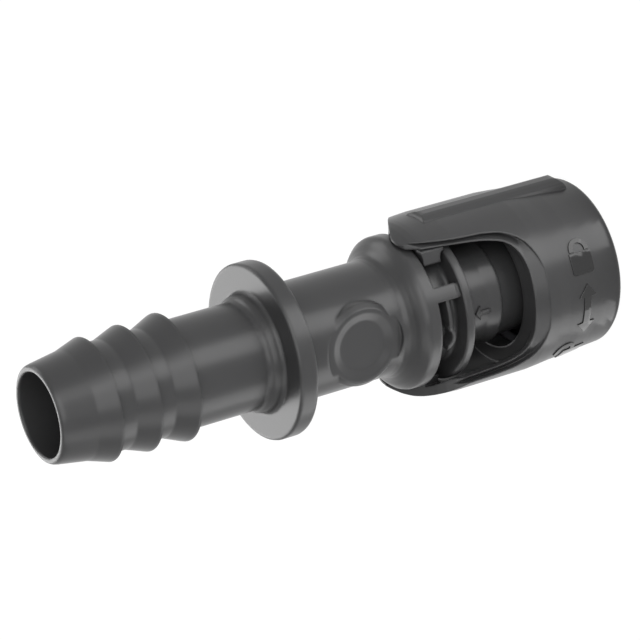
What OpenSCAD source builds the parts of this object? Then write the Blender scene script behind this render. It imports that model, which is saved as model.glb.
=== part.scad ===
// Drip line connector with a turning locking sleeve.
// It stands on the open end of its sleeve, with the flow axis on the Z axis.
// The round pad faces -Y and the grip of the first tongue faces +X.
// Every feature is drawn along X from the mouth of the spigot, with the
// first grip facing +Z, and the last step of each module stands it up.

/* [Flow passage] */
// radius of the bore through the barbed spigot
bore_r = 5.3; // [5:0.05:5.4]
// radius of the narrower bore through the nipple
tail_bore_r = 4.4; // [3.8:0.1:4.5]

/* [Barbed spigot] */
// outside radius just behind the rounded mouth
tip_r = 6.2; // [6.1:0.05:6.4]
// radius of the plain tube behind each barb
neck_r = 6.8; // [6.7:0.05:6.9]
// edge radius of the first barb
barb1_r = 7.7; // [7.4:0.05:7.8]
// edge radius of the second barb
barb2_r = 7.85; // [7.5:0.05:8]
// edge radius of the third barb
barb3_r = 8; // [7.6:0.05:8.2]
// X of the back face of the first barb
barb1_x = 7.3; // [7.1:0.1:7.5]
// distance from one barb to the next
barb_pitch = 5.2; // [5:0.1:5.4]
// length of the slope of the second and third barbs
barb_slope = 2.9; // [2.4:0.1:3.3]

/* [Flange and middle tube] */
// X of the front face of the flange
flange_x = 29.5; // [29.1:0.1:30.7]
// thickness of the flange
flange_t = 2.5; // [2:0.1:3]
// outside radius of the flange
flange_r = 11.15; // [10.5:0.05:12]
// radius of the low shoulder in front of the flange
shoulder_r = 7.45; // [7.2:0.05:8]
// radius of the middle tube
mid_r = 7.45; // [7.3:0.05:7.7]
// length of the flare that leads up to the collar rim
flare_len = 2.8; // [2.7:0.1:3]
// X of the middle of the round pad
pad_x = 41.1; // [40.5:0.1:41.5]
// radius of the round pad
pad_r = 5.4; // [4.6:0.1:5.6]
// distance from the axis to the flat face of the pad
pad_face = 6.9; // [6.7:0.05:7.2]
// depth of the hollow in the pad
pad_dish = 0.45; // [0.2:0.05:0.6]

/* [Collar and groove] */
// X of the front face of the collar rim
rim_x = 48.9; // [48.7:0.1:49.1]
// thickness of the collar rim
rim_t = 1.9; // [1.7:0.1:2]
// outside radius of the rim and of the rear ring
rim_r = 9.85; // [9.7:0.05:9.95]
// width of the groove between the rim and the rear ring
groove_w = 3.6; // [3.5:0.05:3.8]
// radius of the groove floor
floor_r = 7.3; // [7.1:0.05:7.5]
// thickness of the rear ring
ring_t = 1.2; // [1:0.1:1.4]
// angle from -Y toward +Z where each stop bar starts
stop_a = 23; // [21:1:24]
// width of each stop bar as an angle
stop_w = 11; // [10:0.1:11.2]
// angle from each stop bar to the far end of its thin arm
arm_w = 39; // [36:0.2:40]
// radius of the top of the thin arm
arm_r = 9.25; // [9.2:0.05:9.5]
// thickness of the thin arm
arm_t = 0.5; // [0.4:0.05:0.7]
// distance from the collar rim to the thin arm
arm_gap = 1.35; // [1.2:0.05:1.5]

/* [Hub and nipple] */
// radius of the hub
hub_r = 6.55; // [6.4:0.05:6.7]
// X where the hub starts to flare
hub_end = 60; // [59.5:0.1:60.3]
// edge radius of the flared end of the hub
flare_r = 6.95; // [6.85:0.05:7.1]
// length of the flared end of the hub
cone_len = 1.65; // [1.5:0.05:1.8]
// radius of the nipple next to the hub
nipple_r1 = 6.45; // [6.35:0.05:6.55]
// radius of the nipple at its far end
nipple_r2 = 6.3; // [6.2:0.05:6.4]
// X of the far end of the nipple
nipple_end = 73.1; // [72.7:0.1:73.3]

/* [Nipple seal] */
// radius of the cross section of the seal ring
seal_sec = 0.75; // [0.7:0.05:0.8]
// X of the middle of the seal ring
seal_x = 70.3; // [69.7:0.1:70.7]

/* [Locking sleeve] */
// largest outside radius of the sleeve
sleeve_r = 11.66; // [11.6:0.02:11.8]
// X of the open end of the sleeve
sleeve_end = 77.1; // [76.7:0.1:77.7]
// how much smaller the outside radius is at the open end
end_taper = 0.8; // [0.7:0.02:0.9]
// radius of the wider mouth that lets the pipe in
mouth_r = 8.3; // [8.25:0.05:8.5]
// radius of the pipe seat inside the sleeve
inlet_r = 8.1; // [8.05:0.01:8.2]
// X of the inner wall face seen through the windows
wall_x = 63.9; // [63.7:0.1:64.2]
// gap between the tongues and the rings that they turn on
turn_gap = 0.35; // [0.3:0.05:0.4]
// angle from -Y toward +Z of the middle of each window
window_a = 6; // [5:0.5:7]
// gap between each hook and the groove walls
hook_gap = 0.43; // [0.3:0.01:0.5]
// length of each hook along the axis
hook_len = 2.5; // [2.3:0.05:2.6]
// inner radius of the hooks
hook_r = 8.9; // [8.8:0.05:9.1]
// half of the width of each hook at its inner edge
hook_half = 4.6; // [4.2:0.05:4.65]
// half of the width of each hook where it joins the tongue
hook_root = 3.95; // [3.6:0.05:4.2]
// angle from the pad to the middle of the first hook
hook_a = 84; // [82:0.5:86]
// how far the flat top of each grip stands above the sleeve
grip_rise = 0.44; // [0.36:0.02:0.52]
// half of the width of the flat top of each grip
grip_half = 0.6; // [0.5:0.1:0.9]
// half of the width of each grip at its foot
grip_foot = 1.95; // [1.8:0.05:2.3]
// X where each grip starts
grip_x = 53.2; // [53:0.1:53.6]
// length of each grip
grip_len = 22.2; // [21:0.1:22.4]

/* [Grip ring] */
// distance from the wall face to the chamber of the ring
chamber_gap = 2.6; // [2.4:0.1:2.8]
// length of the chamber
chamber_len = 4.2; // [4:0.1:4.4]
// outside radius of the grip ring
grip_ring_r = 9.2; // [9:0.05:9.3]
// radius at the edges of the teeth
teeth_r = 7.75; // [7.6:0.05:7.9]
// width of the slot in the grip ring
slot_w = 1.6; // [1.2:0.1:2]

/* [Hidden] */
grey = [0.27, 0.27, 0.28];
black = [0.06, 0.06, 0.06];
steel = [0.62, 0.63, 0.64];
barb2_x = barb1_x + barb_pitch;
barb3_x = barb2_x + barb_pitch;
flange_end = flange_x + flange_t;
flare_x = rim_x - flare_len;
rim_end = rim_x + rim_t;
ring_x = rim_end + groove_w;
ring_end = ring_x + ring_t;
cone_end = hub_end + cone_len;
seal_floor = nipple_r2 - seal_sec - 0.1;
seal_half = seal_sec + 0.2;
tongue_in = rim_r + turn_gap;
tongue_t = sleeve_r - tongue_in;
sleeve_end_r = sleeve_r - end_taper;
grip_z = sleeve_r + grip_rise;
grip_end = grip_x + grip_len;
hook_x = rim_end + hook_gap;
hook_end = hook_x + hook_len;
arm_x = rim_end + arm_gap;
arm_bend = 1.9;
chamber_x = wall_x + chamber_gap;
chamber_end = chamber_x + chamber_len;
chamber_r = grip_ring_r + 0.25;
ring_front = chamber_x + 0.25;
ring_back = chamber_end - 0.25;

// turns a feature that faces -Y to an angle toward +Z
module at_angle(a) {
  rotate([-a, 0, 0]) children();
}

// spins a half profile of [radius, X] points about the X axis
module spin(points) {
  rotate([0, 90, 0]) rotate_extrude($fn = 96) polygon(points);
}

// spins a part of a turn, from angle a1 to angle a2
module spin_part(points, a1, a2) {
  at_angle(a2)
    rotate([-90, 0, 0])
      rotate([0, 90, 0])
        rotate_extrude(angle = a2 - a1, $fn = 96)
          polygon(points);
}

// stands the part up on the open end of its sleeve
module stand() {
  translate([0, 0, sleeve_end]) rotate([0, 90, 0]) children();
}

// makes a feature and its copy half a turn round the axis
module twice() {
  children();
  rotate([180, 0, 0]) children();
}

// barbs, flange, middle tube, collar, rear ring, hub and nipple in one profile
module body_outside() {
  spin([
    [0, 0], [tip_r - 0.45, 0], [tip_r - 0.25, 0.1],
    [tip_r - 0.1, 0.35], [tip_r, 0.75],
    [neck_r, barb1_x - 2.8], [barb1_r - 0.1, barb1_x - 0.3], [barb1_r, barb1_x],
    [neck_r, barb1_x + 0.1], [neck_r, barb2_x - barb_slope],
    [barb2_r - 0.1, barb2_x - 0.3], [barb2_r, barb2_x],
    [neck_r, barb2_x + 0.1], [neck_r, barb3_x - barb_slope],
    [barb3_r - 0.1, barb3_x - 0.3], [barb3_r, barb3_x],
    [neck_r, barb3_x + 0.1], [neck_r, flange_x - 2],
    [neck_r + 0.15, flange_x - 1.55], [shoulder_r - 0.15, flange_x - 1.25],
    [shoulder_r, flange_x - 0.8], [shoulder_r + 0.1, flange_x - 0.3],
    [shoulder_r + 0.35, flange_x],
    [flange_r - 0.3, flange_x], [flange_r - 0.08, flange_x + 0.1],
    [flange_r, flange_x + 0.35], [flange_r, flange_end - 0.35],
    [flange_r - 0.08, flange_end - 0.1], [flange_r - 0.3, flange_end],
    [mid_r + 0.7, flange_end], [mid_r + 0.25, flange_end + 0.2],
    [mid_r, flange_end + 0.7], [mid_r, flare_x],
    [mid_r + 0.1, flare_x + 0.6], [mid_r + 0.42, flare_x + 1.15],
    [mid_r + 0.95, flare_x + 1.6], [mid_r + 1.55, flare_x + 2],
    [rim_r - 0.42, flare_x + 2.4], [rim_r - 0.12, flare_x + 2.75],
    [rim_r, rim_x + 0.35], [rim_r, rim_end - 0.2], [rim_r - 0.2, rim_end],
    [floor_r + 0.3, rim_end], [floor_r, rim_end + 0.3],
    [floor_r, ring_x - 0.3], [floor_r + 0.3, ring_x],
    [rim_r - 0.15, ring_x], [rim_r, ring_x + 0.15],
    [rim_r, ring_end - 0.15], [rim_r - 0.15, ring_end],
    [hub_r + 0.3, ring_end], [hub_r, ring_end + 0.3],
    [hub_r, hub_end - 0.3], [hub_r + 0.06, hub_end],
    [flare_r - 0.02, cone_end - 0.1], [flare_r - 0.1, cone_end],
    [nipple_r1, cone_end], [nipple_r2, cone_end + 5.4],
    [nipple_r2, nipple_end - 0.6], [nipple_r2 - 0.6, nipple_end],
    [0, nipple_end]
  ]);
}

// flow passage with its narrower nipple end
module passage() {
  spin([
    [0, -1], [bore_r + 1.1, -1], [bore_r, 0.1], [bore_r, hub_end - 3],
    [tail_bore_r, hub_end - 1], [tail_bore_r, nipple_end - 0.3],
    [tail_bore_r + 1.3, nipple_end + 1], [0, nipple_end + 1]
  ]);
}

// round pad across the middle tube
module pad() {
  translate([pad_x, 0, 0])
    rotate([90, 0, 0]) {
      cylinder(h = pad_face - 0.7, r = pad_r, $fn = 64);
      translate([0, 0, pad_face - 0.7])
        cylinder(h = 0.7, r1 = pad_r, r2 = pad_r - 0.6, $fn = 64);
    }
}

// cut that levels the tube over the pad and hollows its face
module pad_cut() {
  translate([pad_x, 0, 0])
    rotate([90, 0, 0]) {
      translate([0, 0, pad_face]) cylinder(h = 3, r = pad_r, $fn = 64);
      translate([0, 0, pad_face - pad_dish])
        cylinder(h = 0.5, r1 = pad_r - 2.2, r2 = pad_r - 1, $fn = 64);
    }
}

// stop bar across the groove with its foot on the rear ring
module stop_bar() {
  spin_part([
    [floor_r - 1, rim_end - 0.5], [rim_r, rim_end - 0.5],
    [rim_r, hook_end], [floor_r - 1, hook_end]
  ], stop_a, stop_a + stop_w);
  spin_part([
    [floor_r - 1, hook_end - 0.5], [rim_r - 0.55, hook_end - 0.5],
    [rim_r - 0.55, ring_x + 0.3], [floor_r - 1, ring_x + 0.3]
  ], stop_a, stop_a + stop_w);
}

// thin arm along the groove from a stop bar to its bent end
module arm() {
  spin_part([
    [floor_r - 1, arm_x], [arm_r, arm_x],
    [arm_r, arm_x + arm_t], [floor_r - 1, arm_x + arm_t]
  ], stop_a - arm_w + 15.6, stop_a + 1);
  intersection() {
    at_angle(stop_a - arm_w + 8)
      translate([arm_x - arm_bend + 1, 0, 0])
        rotate([90, 0, 0])
          difference() {
            cylinder(h = rim_r, r = arm_bend, $fn = 48);
            cylinder(h = rim_r, r = arm_bend - arm_t, $fn = 48);
            translate([-9.2, -5, 0]) cube([10, 10, rim_r]);
          }
    spin([
      [0, rim_end + 0.1], [arm_r - 0.1, rim_end + 0.1],
      [arm_r - 0.1, ring_x], [0, ring_x]
    ]);
  }
}

// one-piece connector body
module connector_body() {
  color(grey) stand()
    difference() {
      union() {
        body_outside();
        pad();
        twice() stop_bar();
        twice() arm();
      }
      passage();
      pad_cut();
      translate([seal_x - seal_half, 0, 0])
        rotate([0, 90, 0])
          difference() {
            cylinder(h = 2 * seal_half, r = nipple_r2 + 1, $fn = 96);
            translate([0, 0, -1])
              cylinder(h = 2 * seal_half + 2, r = seal_floor, $fn = 96);
          }
    }
}

// soft ring that seals inside the pipe
module seal_ring() {
  color(black) stand()
    translate([seal_x, 0, 0])
      rotate([0, 90, 0])
        rotate_extrude($fn = 96)
          translate([seal_floor + 0.05 + seal_sec, 0])
            circle(r = seal_sec, $fn = 32);
}

// outside of the sleeve with the tongues still joined
module sleeve_outside() {
  spin([
    [tongue_in, rim_x - 0.1], [tongue_in + 0.2, rim_x],
    [tongue_in + 0.35 * tongue_t, rim_x + 0.6],
    [tongue_in + 0.59 * tongue_t, rim_x + 1.35],
    [tongue_in + 0.75 * tongue_t, rim_x + 2.1],
    [tongue_in + 0.82 * tongue_t, rim_x + 2.8],
    [tongue_in + 0.93 * tongue_t, rim_x + 4.6], [sleeve_r, rim_x + 6.4],
    [sleeve_r, wall_x + 1.6], [sleeve_r - 0.13, wall_x + 3.45],
    [sleeve_r - 0.28, wall_x + 5], [sleeve_end_r + 0.42, wall_x + 7],
    [sleeve_end_r + 0.22, wall_x + 9.3], [sleeve_end_r, sleeve_end - 0.3],
    [sleeve_end_r - 0.2, sleeve_end],
    [mouth_r + 0.5, sleeve_end], [mouth_r, sleeve_end - 0.5],
    [mouth_r, sleeve_end - 3.6], [inlet_r, sleeve_end - 3.8],
    [inlet_r, chamber_end + 0.6], [inlet_r + 0.2, chamber_end],
    [chamber_r, chamber_end], [chamber_r, chamber_x],
    [inlet_r, chamber_x], [inlet_r, wall_x],
    [tongue_in, wall_x]
  ]);
}

// half outline of a window, from its open end to its closed end
function window_side(s) = [
  [rim_x - 2.2, s * 9.1], [rim_x + 2.3, s * 9], [rim_x + 4.9, s * 8.8],
  [wall_x - 6.1, s * 8.46], [wall_x - 4.7, s * 8.3], [wall_x - 3.6, s * 8.1],
  [wall_x - 2.5, s * 7.85], [wall_x - 1.7, s * 7.55], [wall_x - 1.1, s * 7.15],
  [wall_x - 0.7, s * 6.65], [wall_x - 0.35, s * 6], [wall_x - 0.12, s * 5.1],
  [wall_x, s * 4]
];

// wider half outline for the bevel round each window
function bevel_side(s) = [
  [rim_x - 2.2, s * 10.05], [rim_x + 2.3, s * 9.72], [rim_x + 4.9, s * 9.51],
  [wall_x - 7.4, s * 9.33], [wall_x - 4.6, s * 9.2], [wall_x - 2.9, s * 8.98],
  [wall_x - 1.9, s * 8.78], [wall_x - 1, s * 8.4], [wall_x - 0.2, s * 7.95],
  [wall_x + 0.5, s * 7.3], [wall_x + 1, s * 6.4], [wall_x + 1.4, s * 5.35],
  [wall_x + 1.75, s * 3.9]
];

// turns a list of points end for end
function reversed(v) = [for (i = [len(v) - 1:-1:0]) v[i]];

// window cut straight through the tube wall, facing -Y
module window_cut() {
  rotate([90, 0, 0])
    linear_extrude(height = 20)
      polygon(concat(window_side(-1), reversed(window_side(1))));
}

// bevel round the window, cut only above a spun floor
module window_bevel() {
  difference() {
    rotate([90, 0, 0])
      linear_extrude(height = 20)
        polygon(concat(bevel_side(-1), reversed(bevel_side(1))));
    spin([
      [0, 40], [tongue_in + 0.48 * tongue_t, 40],
      [tongue_in + 0.48 * tongue_t, wall_x],
      [sleeve_r + 0.02, wall_x + 2.1], [sleeve_r + 0.02, 70], [0, 70]
    ]);
  }
}

// cuts the slanted and rounded end of each tongue
module tip_cut() {
  linear_extrude(height = 20)
    polygon([
      [40, -16], [rim_x + 2.4, -16], [rim_x + 2.4, -5.4], [rim_x + 1.9, -4.7],
      [rim_x + 1.2, -4.15], [rim_x + 0.6, -3.6], [rim_x + 0.25, -3],
      [rim_x + 0.16, -2.3], [rim_x + 0.2, -1.5], [rim_x + 0.45, -0.9],
      [rim_x + 0.8, -0.3], [rim_x + 1.4, 0.8], [rim_x + 2, 1.9],
      [rim_x + 2.6, 2.9], [rim_x + 3.3, 3.9], [rim_x + 3.9, 4.8],
      [rim_x + 4.6, 5.7], [rim_x + 5.4, 6.6], [rim_x + 6.4, 7.5],
      [rim_x + 8, 8.6], [rim_x + 9, 16], [40, 16]
    ]);
}

// inward hook under a tongue, narrower where it joins the tongue
module hook() {
  intersection() {
    at_angle(hook_a)
      translate([hook_x - 1, 0, 0])
        rotate([90, 0, 90])
          linear_extrude(height = hook_len + 2)
            polygon([
              [-hook_r + 1, -hook_half], [-tongue_in - 0.3, -hook_root],
              [-tongue_in - 0.3, hook_root], [-hook_r + 1, hook_half]
            ]);
    spin([
      [hook_r, hook_x + 0.05], [tongue_in - 0.4, hook_x],
      [tongue_in - 0.2, hook_x - 0.06], [tongue_in - 0.05, hook_x - 0.25],
      [tongue_in, hook_x - 0.5], [tongue_in + 0.3, hook_x - 0.5],
      [tongue_in + 0.3, hook_end + 0.6], [tongue_in, hook_end + 0.6],
      [tongue_in - 0.1, hook_end + 0.28], [tongue_in - 0.28, hook_end + 0.1],
      [tongue_in - 0.55, hook_end], [hook_r, hook_end]
    ]);
  }
}

// grip along the outside of a tongue, facing +Z, with rounded edges and ends
module grip() {
  low = grip_z - 2.2;
  intersection() {
    translate([grip_x - 1, 0, 0])
      rotate([90, 0, 90])
        linear_extrude(height = grip_len + 2)
          polygon([
            [-grip_foot, low], [-grip_foot, grip_z - 0.7],
            [-grip_foot + 0.2, grip_z - 0.46], [-grip_half - 0.45, grip_z - 0.14],
            [-grip_half, grip_z], [grip_half, grip_z],
            [grip_half + 0.45, grip_z - 0.14], [grip_foot - 0.2, grip_z - 0.46],
            [grip_foot, grip_z - 0.7], [grip_foot, low]
          ]);
    rotate([90, 0, 0])
      linear_extrude(height = 2 * grip_foot + 2, center = true)
        polygon([
          [grip_x, low], [grip_x, grip_z - 1.1], [grip_x + 0.35, grip_z - 0.8],
          [grip_x + 0.7, grip_z - 0.3], [grip_x + 1, grip_z - 0.08],
          [grip_x + 1.4, grip_z], [grip_end - 1.4, grip_z],
          [grip_end - 0.9, grip_z - 0.08], [grip_end - 0.55, grip_z - 0.35],
          [grip_end - 0.25, grip_z - 0.85], [grip_end, grip_z - 1.4],
          [grip_end, low]
        ]);
  }
}

// one-piece sleeve with two tongues, two windows, hooks and grips
module locking_sleeve() {
  color(grey) stand()
    difference() {
      union() {
        difference() {
          sleeve_outside();
          twice() at_angle(window_a) window_cut();
          twice() at_angle(window_a) window_bevel();
        }
        twice() hook();
        twice() difference() {
          grip();
          spin([
            [0, 40], [tongue_in + 0.1, 40], [tongue_in + 0.1, 80], [0, 80]
          ]);
        }
      }
      twice() tip_cut();
    }
}

// split ring with two rows of teeth that hold the pipe
module grip_ring() {
  color(steel) stand()
    difference() {
      spin([
        [teeth_r + 1.05, ring_front], [grip_ring_r, ring_front],
        [grip_ring_r, ring_back], [teeth_r + 1.05, ring_back],
        [teeth_r, ring_back - 0.7], [teeth_r + 0.1, ring_back - 0.85],
        [teeth_r + 1.05, ring_back - 1.05], [teeth_r + 1.05, ring_front + 1.7],
        [teeth_r, ring_front + 1], [teeth_r + 0.1, ring_front + 0.85]
      ]);
      translate([ring_front - 1, -slot_w / 2, 0])
        cube([ring_back - ring_front + 2, slot_w, grip_ring_r + 1]);
    }
}

connector_body();
locking_sleeve();
seal_ring();
grip_ring();
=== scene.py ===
import math

import bmesh
import bpy
from mathutils import Matrix, Vector


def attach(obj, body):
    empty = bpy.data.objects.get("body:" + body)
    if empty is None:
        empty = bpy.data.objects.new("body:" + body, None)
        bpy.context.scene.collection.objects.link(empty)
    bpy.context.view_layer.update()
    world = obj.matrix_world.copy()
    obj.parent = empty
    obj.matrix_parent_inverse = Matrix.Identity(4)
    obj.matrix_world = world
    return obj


MM = 0.001

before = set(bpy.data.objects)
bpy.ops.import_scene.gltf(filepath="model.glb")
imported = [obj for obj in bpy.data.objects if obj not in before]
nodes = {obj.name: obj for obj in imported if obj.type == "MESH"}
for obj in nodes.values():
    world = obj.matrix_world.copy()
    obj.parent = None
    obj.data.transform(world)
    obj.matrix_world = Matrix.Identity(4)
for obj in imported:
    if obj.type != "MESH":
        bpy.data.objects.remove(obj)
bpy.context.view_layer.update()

# camera fitted to the photograph, in the frame of the CAD
CAM_AT = (0.1599769, -0.32793344, 0.23154134)
CAM_AXES = (
    (-0.05505796, 0.92181503, 0.38369999),
    (-0.5271846, 0.29951586, -0.79521485),
    (-0.84796522, -0.24606363, 0.46947595),
)
CAM_SENSOR = 36.0
CAM_LENS = 188.543
CAM_NEAR, CAM_FAR = 0.01, 20.0

cam_data = bpy.data.cameras.new("camera")
cam_data.sensor_width = CAM_SENSOR
cam_data.sensor_fit = "HORIZONTAL"
cam_data.lens = CAM_LENS
cam_data.clip_start = CAM_NEAR
cam_data.clip_end = CAM_FAR
camera = bpy.data.objects.new("camera", cam_data)
bpy.context.scene.collection.objects.link(camera)
camera.matrix_world = Matrix.Translation(CAM_AT) @ Matrix(CAM_AXES).to_4x4()
bpy.context.scene.camera = camera

# plastic of both moulded pieces; lengths in this block are in metres
PLASTIC_SHADE = 0.03
BLUE_SHARE = 1.02
PLASTIC_IOR = 1.49
PLASTIC_GLOSS = 0.3
BODY_ROUGH, BODY_EDGE = 0.29, 0.0005
SLEEVE_ROUGH, SLEEVE_EDGE = 0.3, 0.00035

# signs are darker and glossier than the plastic round them
SIGN_SHADE, SIGN_ROUGH, SIGN_EDGE, SIGN_GLOSS = 0.006, 0.08, 0.00006, 0.5

RUBBER_COLOUR = (0.015, 0.015, 0.015, 1.0)
STEEL_COLOUR = (0.02, 0.02, 0.022, 1.0)
MATT = 0.6

# grain of a surface: scale of the noise, strength and height of the bump
PLASTIC_GRAIN = (2600.0, 0.12, 0.00002)
RUBBER_GRAIN = (1800.0, 0.1, 0.00002)
STEEL_GRAIN = (1500.0, 0.08, 0.00001)
GRAIN_DETAIL = 3.0
EDGE_SAMPLES = 6


def new_material(name):
    mat = bpy.data.materials.new(name)
    mat.use_nodes = True
    tree = mat.node_tree
    shader = tree.nodes["Principled BSDF"]
    return mat, tree, shader


def add_grain(tree, shader, grain, edge=0.0):
    scale, strength, distance = grain
    coords = tree.nodes.new("ShaderNodeTexCoord")
    noise = tree.nodes.new("ShaderNodeTexNoise")
    noise.inputs["Scale"].default_value = scale
    noise.inputs["Detail"].default_value = GRAIN_DETAIL
    bump = tree.nodes.new("ShaderNodeBump")
    bump.inputs["Strength"].default_value = strength
    bump.inputs["Distance"].default_value = distance
    tree.links.new(coords.outputs["Object"], noise.inputs["Vector"])
    tree.links.new(noise.outputs["Fac"], bump.inputs["Height"])
    tree.links.new(bump.outputs["Normal"], shader.inputs["Normal"])
    if edge:
        # rounds the light at the edges, as on a moulded piece
        bevel = tree.nodes.new("ShaderNodeBevel")
        bevel.samples = EDGE_SAMPLES
        bevel.inputs["Radius"].default_value = edge
        tree.links.new(bevel.outputs["Normal"], bump.inputs["Normal"])


def plastic(name, shade, rough, edge, gloss):
    mat, tree, shader = new_material(name)
    colour = (shade, shade, shade * BLUE_SHARE, 1.0)
    shader.inputs["Base Color"].default_value = colour
    shader.inputs["Roughness"].default_value = rough
    shader.inputs["IOR"].default_value = PLASTIC_IOR
    shader.inputs["Specular IOR Level"].default_value = gloss
    add_grain(tree, shader, PLASTIC_GRAIN, edge)
    return mat


def matt(name, colour, metallic, grain):
    mat, tree, shader = new_material(name)
    shader.inputs["Base Color"].default_value = colour
    shader.inputs["Metallic"].default_value = metallic
    shader.inputs["Roughness"].default_value = MATT
    add_grain(tree, shader, grain)
    return mat


body_look = plastic("body_plastic_look", PLASTIC_SHADE, BODY_ROUGH,
                    BODY_EDGE, PLASTIC_GLOSS)
sleeve_look = plastic("sleeve_plastic_look", PLASTIC_SHADE, SLEEVE_ROUGH,
                      SLEEVE_EDGE, PLASTIC_GLOSS)
sign_look = plastic("sign_look", SIGN_SHADE, SIGN_ROUGH, SIGN_EDGE, SIGN_GLOSS)
looks = {
    "connector_body": body_look,
    "locking_sleeve": sleeve_look,
    "seal_ring": matt("seal_rubber_look", RUBBER_COLOUR, 0.0, RUBBER_GRAIN),
    "grip_ring": matt("ring_steel_look", STEEL_COLOUR, 1.0, STEEL_GRAIN),
}
for node_name, look in looks.items():
    obj = nodes[node_name]
    obj.data.materials.clear()
    obj.data.materials.append(look)

# surfaces under the signs: distance from the spigot's end and radius, in mm
LENGTH = 77.1
SLEEVE_SURFACE = [
    (57.0, 11.66), (65.5, 11.66), (67.35, 11.53), (68.9, 11.38),
    (70.9, 11.28), (73.2, 11.08), (76.8, 10.86)]
HUB_SURFACE = [(56.0, 6.55), (59.7, 6.55), (60.0, 6.61), (61.55, 6.93)]

# plates of the signs, in mm: depth in the surface, step along the outline,
# inset of the top, and the share of the height where the edge turns in
SINK = 0.06
OUTLINE_STEP = 0.15
TOP_INSET = 0.03
SIDE_SHARE = 0.75


def radius_at(table, x):
    for (x1, r1), (x2, r2) in zip(table, table[1:]):
        if x <= x2:
            return r1 + (r2 - r1) * (x - x1) / (x2 - x1)
    return table[-1][1]


# turn is the angle round the axis from -Y toward +X, in degrees
def on_surface(table, x, turn, lift):
    radius = radius_at(table, x) + lift
    angle = math.radians(turn)
    return Vector((radius * math.sin(angle), -radius * math.cos(angle),
                   LENGTH - x)) * MM


def inset(points, step):
    moved = []
    n = len(points)
    for i in range(n):
        px, py = points[i - 1]
        nx, ny = points[(i + 1) % n]
        dx, dy = nx - px, ny - py
        length = math.hypot(dx, dy) or 1.0
        moved.append((points[i][0] - dy / length * step,
                      points[i][1] + dx / length * step))
    return moved


# outline cut into fine steps, so that a plate follows the round surface
def fine_ring(outline):
    ring = []
    for (ax, ay), (bx, by) in zip(outline, outline[1:] + outline[:1]):
        steps = max(1, int(math.hypot(bx - ax, by - ay) / OUTLINE_STEP))
        for k in range(steps):
            ring.append((ax + (bx - ax) * k / steps,
                         ay + (by - ay) * k / steps))
    area = sum(a[0] * b[1] - b[0] * a[1]
               for a, b in zip(ring, ring[1:] + ring[:1]))
    if area < 0:
        ring.reverse()
    return ring


# relief lies on the surface as a plate with a sloping edge; outline holds
# [x, arc] points in mm about a middle
def relief(name, table, x0, turn0, outline, height, look, body):
    work = bmesh.new()
    base_radius = radius_at(table, x0)
    ring = fine_ring(outline)

    def place(point, lift):
        turn = turn0 + math.degrees(point[1] / base_radius)
        return on_surface(table, x0 + point[0], turn, lift)

    layers = [
        [place(q, -SINK) for q in ring],
        [place(q, height * SIDE_SHARE) for q in ring],
        [place(q, height) for q in inset(ring, TOP_INSET)],
    ]
    rows = [[work.verts.new(v) for v in layer] for layer in layers]
    n = len(ring)
    for low, high in zip(rows, rows[1:]):
        for i in range(n):
            j = (i + 1) % n
            work.faces.new((low[i], low[j], high[j], high[i]))
    top = work.faces.new(rows[-1])
    bottom = work.faces.new(list(reversed(rows[0])))
    bmesh.ops.triangulate(work, faces=[top, bottom], quad_method="BEAUTY",
                          ngon_method="BEAUTY")
    bmesh.ops.recalc_face_normals(work, faces=work.faces)
    mesh = bpy.data.meshes.new(name)
    work.to_mesh(mesh)
    work.free()
    mesh.materials.append(look)
    obj = bpy.data.objects.new(name, mesh)
    bpy.context.scene.collection.objects.link(obj)
    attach(obj, body)


def sleeve_sign(name, x0, turn0, outline, height):
    relief(name, SLEEVE_SURFACE, x0, turn0, outline, height, sign_look,
           "sleeve")


def arc(cx, cy, radius, a1, a2, steps):
    points = []
    for i in range(steps + 1):
        angle = math.radians(a1 + (a2 - a1) * i / steps)
        points.append((cx + radius * math.cos(angle),
                       cy + radius * math.sin(angle)))
    return points


# padlock, in mm: half width, lower and upper edge and corner of its body,
# outer and inner radius and middle of its shackle, and how far the legs go
# past the upper edge
LOCK_HALF, LOCK_LOW, LOCK_TOP, LOCK_CORNER = 1.66, -1.33, 1.45, 0.4
SHACKLE_WIDE, SHACKLE_THIN, SHACKLE_MIDDLE = 1.5, 0.86, 1.78
LEG_END = LOCK_TOP + 0.12
OPEN_LEG_END = LOCK_TOP - 0.3
LOCK_X = 71.42
PLATE_HEIGHT = 0.12
SIGN_HEIGHT = 0.14
CORNER_STEPS = 4
SHACKLE_STEPS = 16


# the shackle is toward larger turning angles; shift moves the shackle of
# the open padlock to the side
def padlock(tag, turn0, shift):
    side, foot = LOCK_HALF - LOCK_CORNER, LOCK_LOW + LOCK_CORNER
    body = ([(-LOCK_HALF, LOCK_TOP), (-LOCK_HALF, foot)]
            + arc(-side, foot, LOCK_CORNER, 180, 270, CORNER_STEPS)
            + arc(side, foot, LOCK_CORNER, 270, 360, CORNER_STEPS)
            + [(LOCK_HALF, foot), (LOCK_HALF, LOCK_TOP)])
    sleeve_sign("padlock_body_" + tag, LOCK_X, turn0, body, PLATE_HEIGHT)
    leg = OPEN_LEG_END if shift else LEG_END
    outer = arc(shift, SHACKLE_MIDDLE, SHACKLE_WIDE, 0, 180, SHACKLE_STEPS)
    inner = arc(shift, SHACKLE_MIDDLE, SHACKLE_THIN, 180, 0, SHACKLE_STEPS)
    shackle = (outer
               + [(shift - SHACKLE_WIDE, leg), (shift - SHACKLE_THIN, leg)]
               + inner
               + [(shift + SHACKLE_THIN, LEG_END),
                  (shift + SHACKLE_WIDE, LEG_END)])
    sleeve_sign("padlock_shackle_" + tag, LOCK_X, turn0, shackle, SIGN_HEIGHT)


padlock("closed", 22.0, 0.0)
padlock("open", -52.0, -1.65)

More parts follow.
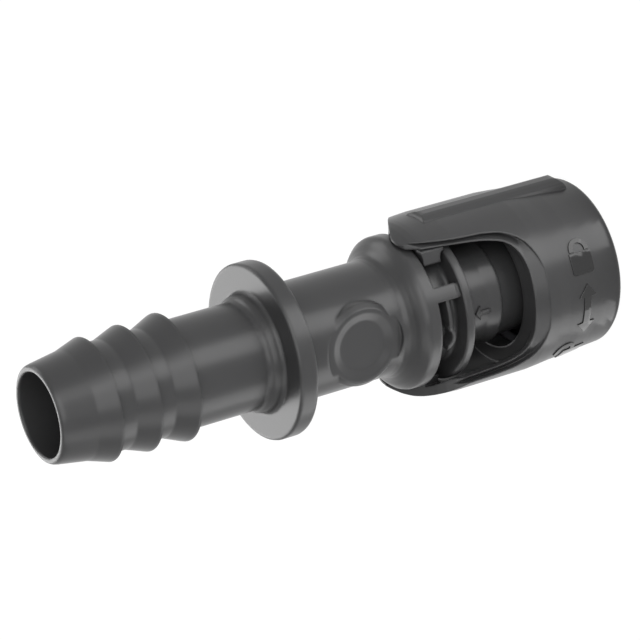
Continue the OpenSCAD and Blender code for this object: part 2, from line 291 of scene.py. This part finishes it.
# double arrow between the padlocks, along the way that the sleeve turns
ARROW_X, ARROW_TURN = 71.6, -9.6
HALF_ARROW = [(-0.54, 1.8), (-1.35, 1.9), (0.0, 3.52), (1.35, 1.9), (0.54, 1.8)]
arrow = HALF_ARROW + [(-x, -y) for x, y in HALF_ARROW]
sleeve_sign("turn_arrow", ARROW_X, ARROW_TURN, arrow, SIGN_HEIGHT)

# pointer on the hub, a small arrow along the axis toward the spigot
POINTER_X, POINTER_TURN, POINTER_HEIGHT = 58.9, -2.5, 0.28
POINTER = [
    (1.0, 0.24), (-0.5, 0.24), (-0.5, 0.95), (-1.25, 0.0),
    (-0.5, -0.95), (-0.5, -0.24), (1.0, -0.24)]
relief("hub_pointer", HUB_SURFACE, POINTER_X, POINTER_TURN, POINTER,
       POINTER_HEIGHT, body_look, "body")

WHITE = (1.0, 1.0, 1.0, 1.0)


# share of rays that see the background as white: those of the camera and
# those that gloss or glass sends on
def white_rays(tree):
    path = tree.nodes.new("ShaderNodeLightPath")
    total = path.outputs["Is Camera Ray"]
    for kind in ("Is Glossy Ray", "Is Transmission Ray"):
        most = tree.nodes.new("ShaderNodeMath")
        most.operation = "MAXIMUM"
        tree.links.new(total, most.inputs[0])
        tree.links.new(path.outputs[kind], most.inputs[1])
        total = most.outputs[0]
    return total


# floor that the part stands on, not part of the object, in metres
FLOOR_HALF = 1.5
FLOOR_COLOUR = (0.8, 0.8, 0.8, 1.0)
FLOOR_ROUGH = 0.9
FLOOR_GLOW = 1.05
GLOW_SHARE = 0.92
INSIDE_REACH = 0.0105

floor_mesh = bpy.data.meshes.new("floor")
floor_mesh.from_pydata(
    [(-FLOOR_HALF, -FLOOR_HALF, 0.0), (FLOOR_HALF, -FLOOR_HALF, 0.0),
     (FLOOR_HALF, FLOOR_HALF, 0.0), (-FLOOR_HALF, FLOOR_HALF, 0.0)],
    [], [(0, 1, 2, 3)])
floor = bpy.data.objects.new("floor", floor_mesh)
bpy.context.scene.collection.objects.link(floor)
floor_mat, floor_tree, floor_shader = new_material("floor_look")
floor_shader.inputs["Base Color"].default_value = FLOOR_COLOUR
floor_shader.inputs["Roughness"].default_value = FLOOR_ROUGH
# the camera sees the floor mostly white, so its shadow stays faint
glow = floor_tree.nodes.new("ShaderNodeEmission")
glow.inputs["Color"].default_value = WHITE
glow.inputs["Strength"].default_value = FLOOR_GLOW
floor_share = floor_tree.nodes.new("ShaderNodeMath")
floor_share.operation = "MULTIPLY"
floor_share.inputs[1].default_value = GLOW_SHARE
floor_mix = floor_tree.nodes.new("ShaderNodeMixShader")
floor_out = floor_tree.nodes["Material Output"]
floor_tree.links.new(white_rays(floor_tree), floor_share.inputs[0])
# inside the sleeve the floor shows only the light that falls in
floor_at = floor_tree.nodes.new("ShaderNodeNewGeometry")
floor_reach = floor_tree.nodes.new("ShaderNodeVectorMath")
floor_reach.operation = "LENGTH"
floor_open = floor_tree.nodes.new("ShaderNodeMath")
floor_open.operation = "GREATER_THAN"
floor_open.inputs[1].default_value = INSIDE_REACH
floor_mask = floor_tree.nodes.new("ShaderNodeMath")
floor_mask.operation = "MULTIPLY"
floor_tree.links.new(floor_at.outputs["Position"], floor_reach.inputs[0])
floor_tree.links.new(floor_reach.outputs["Value"], floor_open.inputs[0])
floor_tree.links.new(floor_share.outputs[0], floor_mask.inputs[0])
floor_tree.links.new(floor_open.outputs[0], floor_mask.inputs[1])
floor_tree.links.new(floor_mask.outputs[0], floor_mix.inputs[0])
floor_tree.links.new(floor_shader.outputs[0], floor_mix.inputs[1])
floor_tree.links.new(glow.outputs[0], floor_mix.inputs[2])
floor_tree.links.new(floor_mix.outputs[0], floor_out.inputs["Surface"])
floor_mesh.materials.append(floor_mat)

# world: white behind the part, plain grey light for the rest
WORLD_LIGHT = 0.08
world = bpy.data.worlds.new("world")
bpy.context.scene.world = world
world.use_nodes = True
world_tree = world.node_tree
world_tree.nodes.clear()


def background(strength):
    node = world_tree.nodes.new("ShaderNodeBackground")
    node.inputs["Color"].default_value = WHITE
    node.inputs["Strength"].default_value = strength
    return node.outputs[0]


world_out = world_tree.nodes.new("ShaderNodeOutputWorld")
world_mix = world_tree.nodes.new("ShaderNodeMixShader")
world_tree.links.new(white_rays(world_tree), world_mix.inputs[0])
world_tree.links.new(background(WORLD_LIGHT), world_mix.inputs[1])
world_tree.links.new(background(1.0), world_mix.inputs[2])
world_tree.links.new(world_mix.outputs[0], world_out.inputs["Surface"])


# area light that the camera doesn't see; glow is its brightness, where 1 is
# white
def add_lamp(name, size_x, size_y, glow, place, rotation):
    data = bpy.data.lights.new(name, "AREA")
    data.shape = "RECTANGLE"
    data.size = size_x
    data.size_y = size_y
    data.energy = glow * math.pi * size_x * size_y
    lamp = bpy.data.objects.new(name, data)
    bpy.context.scene.collection.objects.link(lamp)
    lamp.location = place
    lamp.rotation_euler = rotation
    lamp.visible_camera = False


# panel that looks at the middle of the part; turn is the angle round the
# part from -Y toward +X, in degrees, and lengths are in metres
PART_MIDDLE = Vector((0.0, 0.0, 0.037))


def panel(name, turn, distance, height, size_x, size_y, glow):
    angle = math.radians(turn)
    place = Vector((distance * math.sin(angle), -distance * math.cos(angle),
                    height))
    rotation = (PART_MIDDLE - place).to_track_quat("-Z", "Y").to_euler()
    add_lamp(name, size_x, size_y, glow, place, rotation)


# panels that lie on the floor where the side of the part, between two
# turning angles, mirrors the view of the camera; one panel per step of height
CAMERA_TURN = 25.8
CAMERA_RISE = math.tan(math.radians(28.0))
SIDE_RADIUS = 0.0113
STRIP_HEIGHTS = (0.0001, 0.001, 0.003, 0.007, 0.013, 0.022, 0.038, 0.07, 0.13)
STRIP_LIFT = Vector((0.0, 0.0, 0.0004))
NEAR_HEIGHT, NEAR_SHARE = 0.006, 0.7


def mirrored_at(turn, height):
    at = math.radians(turn)
    toward = math.radians(2.0 * turn - CAMERA_TURN)
    reach = height / CAMERA_RISE
    return Vector((SIDE_RADIUS * math.sin(at) + reach * math.sin(toward),
                   -SIDE_RADIUS * math.cos(at) - reach * math.cos(toward), 0.0))


def low_strip(name, turn1, turn2, glow):
    turn = (turn1 + turn2) / 2.0
    for i, (low, high) in enumerate(zip(STRIP_HEIGHTS, STRIP_HEIGHTS[1:])):
        middle = (low + high) / 2.0
        side1, side2 = mirrored_at(turn1, middle), mirrored_at(turn2, middle)
        across = side2 - side1
        length = (mirrored_at(turn, high) - mirrored_at(turn, low)).length
        # the nearest panels are dimmer, so the sleeve's foot stays even
        share = NEAR_SHARE if middle < NEAR_HEIGHT else 1.0
        add_lamp("%s_%d" % (name, i), across.length, length, glow * share,
                 (side1 + side2) / 2.0 + STRIP_LIFT,
                 (math.pi, 0.0, math.atan2(across.y, across.x)))


# name, turn, distance, height, width, height of the panel, glow
panel("right_panel", 50.0, 0.2, 0.12, 0.1, 0.26, 1.7)
panel("left_panel", -40.0, 0.2, 0.12, 0.1, 0.26, 1.7)
panel("back_panel", 205.0, 0.42, 0.26, 0.34, 0.34, 3.4)
panel("rim_panel", 150.0, 0.42, 0.28, 0.2, 0.26, 3.0)
panel("top_panel", 60.0, 0.12, 0.55, 0.2, 0.2, 3.0)
panel("front_panel", 26.0, 0.48, 0.3, 0.5, 0.5, 2.7)
# name, first and last turning angle, glow
low_strip("right_low", 28.0, 46.0, 4.0)
low_strip("left_low", -27.0, -11.0, 2.7)

bpy.context.scene.view_settings.view_transform = "Standard"
